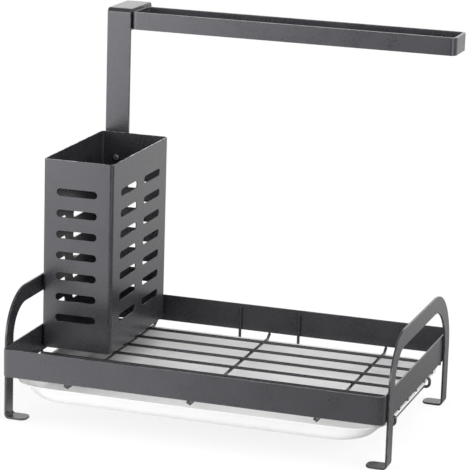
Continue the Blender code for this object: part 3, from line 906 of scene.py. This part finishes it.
@dataclass
class UtensilHolder:
    """The folded wall with its slots, and the drained floor inside it."""

    wall_span: Span = field(default_factory=lambda: Span.of("utensil_holder"))
    floor_span: Span = field(default_factory=lambda: Span.of("holder_floor"))
    sheet: float = 1 * MM
    corner: float = 3.5 * MM
    edge: float = 0.36 * MM
    # Painted highlight: the mark given to the faces along the holder's top edge.
    top_edge_highlight_mark: float = 7.0
    rows: int = 7
    rear_rows: int = 6
    left_rows: int = 5
    left_shift: float = 9 * MM
    left_rise: float = 2 * MM
    pitch: float = 20.1 * MM
    slot_height: float = 7.2 * MM
    front_slot: float = 40.4 * MM
    front_shift: float = 1.1 * MM
    side_slot: float = 42.5 * MM
    side_spacing: float = 61 * MM
    drain: float = 6 * MM
    drain_pitch: float = 18 * MM
    drain_grid: tuple[int, int] = (3, 6)
    corner_steps: int = 6
    slot_steps: int = 8
    drain_sides: int = 24

    def slots(
        self, out: Vector, columns: Sequence[float], length: float, rows: int, rise: float
    ) -> bmesh.types.BMesh:
        """Return the tool that cuts one wall's slots.

        Args:
            out: The way the wall faces.
            columns: The slots' middles on X or Y, from the holder's middle.
            length: The slots' length.
            rows: How many of the rows the wall has, from the lowest up.
            rise: How much higher its rows are than the front wall's.

        Returns:
            The tool, in its place.
        """
        across = Vector((abs(out.y), abs(out.x), 0))
        through = across.cross(Z_AXIS)
        depth = self.sheet + 2 * OVERRUN
        wall = self.wall_span.centre + out * (abs(out.dot(self.wall_span.size)) - self.sheet) / 2
        turn = Matrix((across, Z_AXIS, through)).transposed().to_4x4()
        tool = new_shape()
        for row in range(rows):
            up = (row - (self.rows - 1) / 2) * self.pitch + rise
            for column in columns:
                end_radius = self.slot_height / 2 * FULL_ROUND_SHARE
                bar = outline(length, self.slot_height, end_radius, self.slot_steps)
                raise_up(bar, depth)
                place = wall + across * column + Z_AXIS * up - through * depth / 2
                bar.transform(Matrix.Translation(place) @ turn)
                mesh = bpy.data.meshes.new("slot")
                bar.to_mesh(mesh)
                bar.free()
                tool.from_mesh(mesh)
                bpy.data.meshes.remove(mesh)
        bmesh.ops.recalc_face_normals(tool, faces=tool.faces)
        return tool

    def build(self, bench: Bench, drills: Sequence[bmesh.types.BMesh]) -> None:
        """Make the holder.

        Args:
            bench: Where the pieces are set out.
            drills: The drills for the two screw holes in its rear wall.
        """
        wall = band(self.wall_span, self.corner, self.sheet, self.corner_steps)
        middle = [-self.front_shift]
        pair = [-self.side_spacing / 2, self.side_spacing / 2]
        left_pair = [y - self.left_shift for y in pair]
        for out, columns, length, rows, rise in (
            (-Y_AXIS, middle, self.front_slot, self.rows, 0.0),
            (Y_AXIS, middle, self.front_slot, self.rear_rows, 0.0),
            (X_AXIS, pair, self.side_slot, self.rows, 0.0),
            (-X_AXIS, left_pair, self.side_slot, self.left_rows, self.left_rise),
        ):
            wall = cut(wall, self.slots(out, columns, length, rows, rise))
        for drill in drills:
            wall = cut(wall, drill)
        round_edges(wall, self.edge)
        # Painted highlight: faces along the top edge get a mark well above 1, so they take the full pale
        # edge colour as a light line.
        mark = wall.faces.layers.float[EDGE_MARK]
        for face in wall.faces:
            if face.calc_center_median().z > self.wall_span.high.z - self.sheet:
                face[mark] = self.top_edge_highlight_mark
        bench.set_out("holder_wall", wall, Slot.STEEL, ["utensil_holder"])
        self.make_floor(bench)

    def make_floor(self, bench: Bench) -> None:
        """Make the floor with its grid of drain holes."""
        size = self.floor_span.size
        floor = outline(size.x, size.y, self.corner - self.sheet, self.corner_steps)
        raise_up(floor, size.z)
        base = self.floor_span.centre - Z_AXIS * size.z / 2
        bmesh.ops.translate(floor, vec=base, verts=floor.verts)
        tool = new_shape()
        columns, rows = self.drain_grid
        for column in range(columns):
            for row in range(rows):
                step = Vector((column - (columns - 1) / 2, row - (rows - 1) / 2, 0))
                place = self.floor_span.centre + step * self.drain_pitch
                bmesh.ops.create_cone(
                    tool, cap_ends=True, segments=self.drain_sides, radius1=self.drain / 2,
                    radius2=self.drain / 2, depth=size.z + 2 * OVERRUN,
                    matrix=Matrix.Translation(place),
                )
        floor = cut(floor, tool)
        round_edges(floor, self.edge)
        bench.set_out("holder_base", floor, Slot.STEEL, ["holder_floor"])


@dataclass
class Post:
    """The strip behind the holder that folds over into a cap, and the plate in the cap's side."""

    span: Span = field(default_factory=lambda: Span.of("post"))
    plate_span: Span = field(default_factory=lambda: Span.of("cap_plate"))
    thickness: float = 3 * MM
    bend: float = 4.5 * MM
    flange: float = 21 * MM
    plate_corner: float = 1.4 * MM
    edge: float = 0.45 * MM
    bend_steps: int = 8
    plate_corner_steps: int = 5

    def build(
        self, bench: Bench, drills: Sequence[bmesh.types.BMesh], side: bmesh.types.BMesh
    ) -> None:
        """Make the post and its plate.

        Args:
            bench: Where the pieces are set out.
            drills: The drills for the two screw holes in the post.
            side: The drill for the hole in the plate.
        """
        half = self.thickness / 2
        x, top = self.span.centre.x, self.span.high.z - half
        front, back = self.span.low.y + half, self.span.high.y - half
        stations = (
            (x, front, self.span.low.z), (x, front, top), (x, back, top),
            (x, back, self.span.high.z - self.flange),
        )
        route = [Vector(station) for station in stations]
        bar = Bar.strip(route[0], X_AXIS * self.span.size.x, Y_AXIS * self.thickness)
        shape = bar.follow(route, [self.bend - half] * 2, self.bend_steps).closed()
        for drill in drills:
            shape = cut(shape, drill)
        round_edges(shape, self.edge, 3)
        bench.set_out("post_strip", shape, Slot.STEEL, ["post"])
        self.make_plate(bench, side)

    def make_plate(self, bench: Bench, drill: bmesh.types.BMesh) -> None:
        """Make the plate in the cap's side, drilled for the arm's screw."""
        span = self.plate_span
        shape = outline(span.size.y, span.size.z, self.plate_corner, self.plate_corner_steps)
        raise_up(shape, span.size.x)
        turn = Matrix((Y_AXIS, Z_AXIS, X_AXIS)).transposed().to_4x4()
        base = Vector((span.low.x, span.centre.y, span.centre.z))
        shape.transform(Matrix.Translation(base) @ turn)
        shape = cut(shape, drill)
        round_edges(shape, self.edge / 2)
        bench.set_out("cap_side_plate", shape, Slot.STEEL, ["cap_plate"])


@dataclass
class TowelArm:
    """The long closed loop of strip that towels hang over."""

    span: Span = field(default_factory=lambda: Span.of("towel_arm"))
    thickness: float = 3 * MM
    corner: float = 6 * MM
    edge: float = 0.45 * MM
    corner_steps: int = 10

    def build(self, bench: Bench, drill: bmesh.types.BMesh) -> None:
        """Make the arm.

        Args:
            bench: Where the piece is set out.
            drill: The drill for the hole in its left end.
        """
        shape = cut(band(self.span, self.corner, self.thickness, self.corner_steps), drill)
        round_edges(shape, self.edge, 3)
        bench.set_out("towel_arm_loop", shape, Slot.STEEL, ["towel_arm"])


@dataclass
class DripTray:
    """The white tray under the wires: a lip, sloping walls with a knee, and a flat floor."""

    span: Span = field(default_factory=lambda: Span.of("drip_tray"))
    wall: float = 1.5 * MM
    lip: float = 3 * MM
    corner: float = 37 * MM
    knee: Vector = field(default_factory=lambda: Vector((13, 5, 5)) * MM)
    foot: Vector = field(default_factory=lambda: Vector((18, 10.5, 0)) * MM)
    crease: float = 2.2 * MM
    crease_turn: float = 0.2
    edge: float = 0.45 * MM
    corner_steps: int = 14
    crease_steps: int = 4

    def level(
        self, shape: bmesh.types.BMesh, verts: Sequence, inset: Vector, z: float, was: Vector
    ) -> None:
        """Size a level of the tray and put it at its height.

        Args:
            shape: The tray so far.
            verts: The level's vertices.
            inset: How far the level is drawn in from the lip on X and Y.
            z: Its height.
            was: The inset it has now.
        """
        half = self.span.size / 2
        factors = ((half.x - inset.x) / (half.x - was.x), (half.y - inset.y) / (half.y - was.y), 1)
        bmesh.ops.scale(shape, vec=factors, verts=verts)
        bmesh.ops.translate(shape, vec=(0, 0, z - verts[0].co.z), verts=verts)

    def build(self, bench: Bench) -> None:
        """Make the drip tray.

        Args:
            bench: Where the piece is set out.
        """
        size, bottom = self.span.size, self.span.low.z
        shape = outline(size.x, size.y, self.corner, self.corner_steps)
        flat = Vector()
        lip = Vector((self.lip, self.lip, 0))
        self.level(shape, shape.verts[:], self.foot, bottom, flat)
        levels = (
            (self.knee, bottom + self.knee.z, self.foot),
            (lip, self.span.high.z - self.wall, self.knee),
            (flat, self.span.high.z - self.wall, lip),
        )
        floor = shape.faces[:]
        rim = floor[0].edges[:]
        for inset, z, was in levels:
            grown = bmesh.ops.extrude_edge_only(shape, edges=rim)
            rim = [item for item in grown["geom"] if isinstance(item, bmesh.types.BMEdge)]
            self.level(shape, verts_in(grown["geom"]), inset, z, was)
        bmesh.ops.recalc_face_normals(shape, faces=shape.faces)
        if floor[0].normal.z > 0:
            bmesh.ops.reverse_faces(shape, faces=shape.faces)
        creases = [
            edge for edge in shape.edges
            if edge.is_manifold and edge.calc_face_angle(0.0) > self.crease_turn
            and abs(edge.verts[0].co.z - edge.verts[1].co.z) < NEAR
        ]
        bmesh.ops.bevel(
            shape, geom=creases, offset=self.crease, segments=self.crease_steps, profile=0.5,
            affect="EDGES", material=-1, clamp_overlap=True,
        )
        centre = self.span.centre
        bmesh.ops.translate(shape, vec=(centre.x, centre.y, 0), verts=shape.verts)
        bmesh.ops.solidify(shape, geom=shape.faces[:], thickness=self.wall)
        bmesh.ops.recalc_face_normals(shape, faces=shape.faces)
        round_edges(shape, self.edge, 3, 55.0)
        bench.set_out("drip_tray_shell", shape, Slot.PLASTIC, ["drip_tray"], Body.TRAY)


@dataclass
class Fastener:
    """A pan head screw with its nut."""

    name: str
    along: Vector
    grip: float
    diameter: float = 4 * MM
    head: float = 7.6 * MM
    head_height: float = 2.4 * MM
    thread_pitch: float = 0.7 * MM
    thread_runout: float = 1 * MM
    root_share: float = 0.86
    dome_shares: tuple[tuple[float, float], ...] = (
        (0.90, 0.0), (1.0, 0.10), (1.0, 0.45), (0.94, 0.68), (0.82, 0.84), (0.62, 0.96), (0.38, 1.0),
    )
    recess: Vector = field(default_factory=lambda: Vector((4.4, 1.0, 1.3)) * MM)
    recess_tip_share: float = 0.55
    chamfer_shares: tuple[float, float, float] = (0.89, 1.01, 0.14)
    thread_clearance: float = 0.1 * MM
    clearance: float = 0.3 * MM
    edge: float = 0.12 * MM
    nut_edge: float = 0.1 * MM
    shank_sides: int = 24
    cone_sides: int = 36

    @property
    def seat(self) -> Vector:
        """Return the point under the screw's head, on its axis."""
        span = Span.of(f"{self.name}_screw")
        head_end = span.centre + self.along * abs(self.along.dot(span.size)) / 2
        return head_end - self.along * self.head_height

    def drill(self) -> bmesh.types.BMesh:
        """Return the drill for this screw's hole through all that it holds."""
        place = self.seat - self.along * (self.grip / 2 + self.clearance)
        depth = self.grip + 3 * OVERRUN
        return round_hole(place, self.along, self.diameter / 2 + self.clearance, depth)

    def turned(self, place: Vector) -> Matrix:
        """Return the move that turns +Z along the screw and puts the origin in a place."""
        turn = Z_AXIS.rotation_difference(self.along).to_matrix().to_4x4()
        return Matrix.Translation(place) @ turn

    def make_screw(self, bench: Bench) -> None:
        """Make the screw: a threaded shank, a domed head and a cross recess."""
        span = Span.of(f"{self.name}_screw")
        shank = abs(self.along.dot(span.size)) - self.head_height
        radius, root = self.diameter / 2, self.root_share
        bar = Bar.wire(Vector((0, 0, -shank)), Z_AXIS, radius * root, self.shank_sides)
        half_pitch = self.thread_pitch / 2
        turns = int((shank - self.thread_runout) / self.thread_pitch)
        for _ in range(turns):
            bar.push(Z_AXIS * half_pitch, 1 / root)
            bar.push(Z_AXIS * half_pitch, root)
        bar.push(Z_AXIS * (shank - turns * self.thread_pitch), 1 / root)
        current, level = radius, 0.0
        for share, height in self.dome_shares:
            wanted = self.head / 2 * share
            bar.push(Z_AXIS * (height - level) * self.head_height, wanted / current)
            current, level = wanted, height
        shape = cut(bar.closed(), self.recess_tool())
        shape.transform(self.turned(self.seat))
        round_edges(shape, self.edge, 1, 60.0)
        node = f"{self.name}_screw"
        bench.set_out(f"{node}_turned", shape, Slot.SCREWS, [node], smooth=40)

    def recess_tool(self) -> bmesh.types.BMesh:
        """Return the tapered cross that cuts the head's recess."""
        tool = new_shape()
        reach, width, depth = self.recess.x / 2, self.recess.y / 2, self.recess.z
        bmesh.ops.create_grid(tool, x_segments=3, y_segments=3, size=reach)
        for axis in (0, 1):
            for vert in tool.verts:
                if abs(vert.co[axis]) < reach / 2:
                    vert.co[axis] *= width * 3 / reach
        corners = [
            face for face in tool.faces
            if abs(face.calc_center_median().x) > width and abs(face.calc_center_median().y) > width
        ]
        bmesh.ops.delete(tool, geom=corners, context="FACES")
        bmesh.ops.translate(tool, vec=(0, 0, self.head_height + OVERRUN), verts=tool.verts)
        grown = bmesh.ops.extrude_face_region(tool, geom=tool.faces[:])
        tip = verts_in(grown["geom"])
        bmesh.ops.translate(tool, vec=(0, 0, -depth - OVERRUN), verts=tip)
        taper = (self.recess_tip_share, self.recess_tip_share, 1)
        bmesh.ops.scale(tool, vec=taper, verts=tip)
        bmesh.ops.recalc_face_normals(tool, faces=tool.faces)
        return tool

    def make_nut(self, bench: Bench) -> None:
        """Make the nut: a hexagon with its corners turned down."""
        node = f"{self.name}_nut"
        span = Span.of(node)
        height = abs(self.along.dot(span.size))
        corner = max(span.size) / 2
        hexagon = Bar.wire(-Z_AXIS * height / 2, Z_AXIS, corner, 6)
        hexagon.push(Z_AXIS * height)
        narrow, wide, rise = self.chamfer_shares
        cone = Bar.wire(-Z_AXIS * height / 2, Z_AXIS, corner * narrow, self.cone_sides)
        cone.push(Z_AXIS * height * rise, wide / narrow)
        cone.push(Z_AXIS * height * (1 - 2 * rise))
        cone.push(Z_AXIS * height * rise, narrow / wide)
        shape = cut(hexagon.closed(), cone.closed(), "INTERSECT")
        bore = self.diameter / 2 + self.thread_clearance
        shape = cut(shape, round_hole(Vector(), Z_AXIS, bore, height + 2 * OVERRUN))
        shape.transform(self.turned(span.centre))
        round_edges(shape, self.nut_edge, 1)
        bench.set_out(f"{node}_hexagon", shape, Slot.SCREWS, [node], smooth=35)

    def build(self, bench: Bench) -> None:
        """Make the screw and the nut.

        Args:
            bench: Where the pieces are set out.
        """
        self.make_screw(bench)
        self.make_nut(bench)


@dataclass(frozen=True)
class Lamp:
    """One soft box, aimed at the organizer."""

    name: str
    place: tuple[float, float, float]
    size: float
    watts: float
    colour: tuple[float, float, float] = (1.0, 1.0, 1.0)


@dataclass(frozen=True)
class Studio:
    """The pale floor, the white surroundings, the soft boxes and the camera."""

    aim: tuple[float, float, float] = (0.0, 0.0, 0.17)
    ambient: float = 0.92
    front_horizon: float = 3.4
    rear_horizon: float = 1.85
    zenith: float = 0.45
    horizon_rise: tuple[float, float] = (0.24, 0.48)
    horizon_turn: tuple[float, float] = (-0.50, 0.10)
    near_left: float = 2.5
    near_middle: float = 0.8
    far_left: float = 6.2
    far_middle: float = 0.10
    mirror_right: float = 0.15
    rear_near: float = 0.42
    rear_far: float = 1.0
    glow: float = 4.0
    glow_turn: tuple[float, float, float, float] = (0.55, 0.75, 1.00, 1.20)
    slant: float = 0.436
    near_fade: tuple[float, float] = (-0.10, 0.27)
    far_fade: tuple[float, float] = (-0.16, 0.24)
    far_start: tuple[float, float] = (0.80, 1.30)
    glow_start: tuple[float, float] = (0.40, 0.80)
    right_fade: tuple[float, float] = (0.30, 0.52)
    rear_fade: tuple[float, float] = (-0.22, 0.02)
    rear_rise: tuple[float, float] = (0.00, 0.90)
    # Painted shadow: the share of the floor's reflected glow left beneath the tray.
    under: float = 0.30
    shadow_footprint_x: tuple[float, float] = (0.15, 0.20)
    shadow_footprint_y: tuple[float, float] = (0.10, 0.15)
    floor_radius: float = 14.0
    paper: tuple[float, float, float] = (0.97, 0.97, 0.97)
    paper_roughness: float = 0.9
    paper_shine: float = 0.1
    shadow_radius: tuple[float, float] = (0.30, 0.85)
    shadow_hide: float = 0.84
    camera_place: tuple[float, float, float] = (0.68926, -2.12035, 0.71220)
    camera_turn: tuple[float, float, float] = (76.155, -1.686, 18.629)
    camera_lens: float = 188.525
    camera_sensor: float = 36.0
    camera_reach: float = 60.0
    lamps: tuple[Lamp, ...] = (
        Lamp("front_left_box", (-0.95, -2.35, 0.72), 1.0, 12.0, (0.97, 0.98, 1.0)),
        Lamp("right_box", (2.2, -0.5, 1.2), 1.1, 20.0, (1.0, 0.98, 0.96)),
        Lamp("top_box", (0.6, 0.2, 2.3), 1.8, 10.0),
    )

    def build(self) -> None:
        """Set up the whole studio."""
        self.make_world()
        self.make_floor()
        for lamp in self.lamps:
            self.make_lamp(lamp)
        self.make_camera()
        scene = bpy.context.scene
        scene.view_settings.view_transform = "Standard"

    def make_world(self) -> None:
        """Make surroundings that look white and light the object evenly."""
        world = bpy.data.worlds.new("studio_white")
        world.use_nodes = True
        sky = Sketch(world.node_tree)
        background = sky.tree.nodes["Background"]
        _, depth, height = sky.axes(sky.signal(sky.add("ShaderNodeTexCoord"), "Generated"))
        turned = sky.ramp(depth, *self.horizon_turn)
        horizon = sky.between(turned, self.front_horizon, self.rear_horizon)
        mirrored = sky.between(sky.ramp(height, *self.horizon_rise), horizon, self.zenith)
        seen = sky.ray("Camera") + sky.ray("Transmission")
        glossy = sky.ray("Glossy")
        plain = 1.0 - seen - glossy
        strength = seen + glossy * mirrored + plain * self.ambient
        sky.feed(background, {"Color": WHITE, "Strength": strength})
        bpy.context.scene.world = world

    def make_floor(self) -> None:
        """Make the floor: white paper that keeps the object's shadow and shines evenly further out, and
        that glows with a painted reflection map in glossy rays.
        """
        shape = bmesh.new()
        bmesh.ops.create_circle(shape, cap_ends=True, segments=96, radius=self.floor_radius)
        floor = stand(shape, "paper_floor")
        paint = Paint("white_paper")
        paint.feed(
            paint.shader,
            {
                "Base Color": rgba(self.paper),
                "Roughness": self.paper_roughness,
                "Specular IOR Level": self.paper_shine,
            },
        )
        length = paint.add("ShaderNodeVectorMath", {"operation": "LENGTH"}, {0: paint.place()})
        far = paint.ramp(paint.signal(length, "Value"), *self.shadow_radius)
        camera, glossy = paint.ray("Camera"), paint.ray("Glossy")
        white = camera * (self.shadow_hide + (1.0 - self.shadow_hide) * far)
        # Painted reflection: in glossy rays the paper glows with the mirrored map instead of showing its
        # own shading.
        glow = paint.add(
            "ShaderNodeEmission", None,
            {"Color": WHITE, "Strength": camera + self.mirrored(paint) * glossy},
        )
        mix = paint.add(
            "ShaderNodeMixShader", None,
            {0: white + glossy, 1: paint.signal(paint.shader), 2: paint.signal(glow)},
        )
        paint.feed(paint.output, {"Surface": paint.signal(mix)})
        floor.data.materials.append(paint.material)

    def mirrored(self, paint: Paint) -> Signal:
        """Return the painted reflection that the floor glows with in glossy rays: most at the front left,
        with a painted shadow beneath the tray.
        """
        x, y, _ = paint.axes(paint.place())
        ahead = -y
        slant = x - self.slant * y
        near = paint.between(paint.ramp(slant, *self.near_fade), self.near_left, self.near_middle)
        far = paint.between(paint.ramp(slant, *self.far_fade), self.far_left, self.far_middle)
        level = paint.between(paint.ramp(ahead, *self.far_start), near, far)
        level = paint.between(paint.ramp(slant, *self.right_fade), level, self.mirror_right)
        turn = x.turn_from(ahead)
        opens, full, fades, shut = self.glow_turn
        glow = paint.ramp(turn, opens, full) * (1.0 - paint.ramp(turn, fades, shut))
        level = level + glow * paint.ramp(ahead, *self.glow_start) * self.glow
        rear = paint.between(paint.ramp(y, *self.rear_rise), self.rear_near, self.rear_far)
        level = paint.between(paint.ramp(y, *self.rear_fade), level, rear)
        # Painted shadow: the reflected glow drops to the under share in the tray's footprint, standing in
        # for the shade beneath the tray.
        beside_x = paint.ramp(x * x, *(edge * edge for edge in self.shadow_footprint_x))
        beside_y = paint.ramp(y * y, *(edge * edge for edge in self.shadow_footprint_y))
        painted_shadow_footprint = (1.0 - beside_x) * (1.0 - beside_y)
        return level * paint.between(painted_shadow_footprint, 1.0, self.under)

    def make_lamp(self, lamp: Lamp) -> None:
        """Hang one soft box.

        Args:
            lamp: The soft box.
        """
        light = bpy.data.lights.new(lamp.name, "AREA")
        light.shape = "DISK"
        light.size = lamp.size
        light.energy = lamp.watts
        light.color = lamp.colour
        holder = bpy.data.objects.new(lamp.name, light)
        holder.location = lamp.place
        aim = Vector(self.aim) - Vector(lamp.place)
        holder.rotation_euler = aim.to_track_quat("-Z", "Y").to_euler()
        bpy.context.scene.collection.objects.link(holder)

    def make_camera(self) -> None:
        """Put the camera at the photograph's viewpoint."""
        data = bpy.data.cameras.new("photo_camera")
        data.sensor_width = self.camera_sensor
        data.lens = self.camera_lens
        data.clip_end = self.camera_reach
        camera = bpy.data.objects.new("photo_camera", data)
        camera.location = self.camera_place
        camera.rotation_euler = [math.radians(angle) for angle in self.camera_turn]
        bpy.context.scene.collection.objects.link(camera)
        bpy.context.scene.camera = camera


def main() -> None:
    """Build every sub-assembly and the studio round it."""
    bench = Bench()
    upper = Fastener("upper_post", -Y_AXIS, 4.3 * MM)
    lower = Fastener("lower_post", -Y_AXIS, 6.1 * MM)
    arm = Fastener("arm", X_AXIS, 6.3 * MM)
    WireTray().build(bench, lower.drill())
    for side in Side:
        SideArch(side).build(bench)
    UtensilHolder().build(bench, [upper.drill(), lower.drill()])
    Post().build(bench, [upper.drill(), lower.drill()], arm.drill())
    TowelArm().build(bench, arm.drill())
    DripTray().build(bench)
    for fastener in (upper, lower, arm):
        fastener.build(bench)
    Studio().build()


if __name__ == "__main__":
    main()
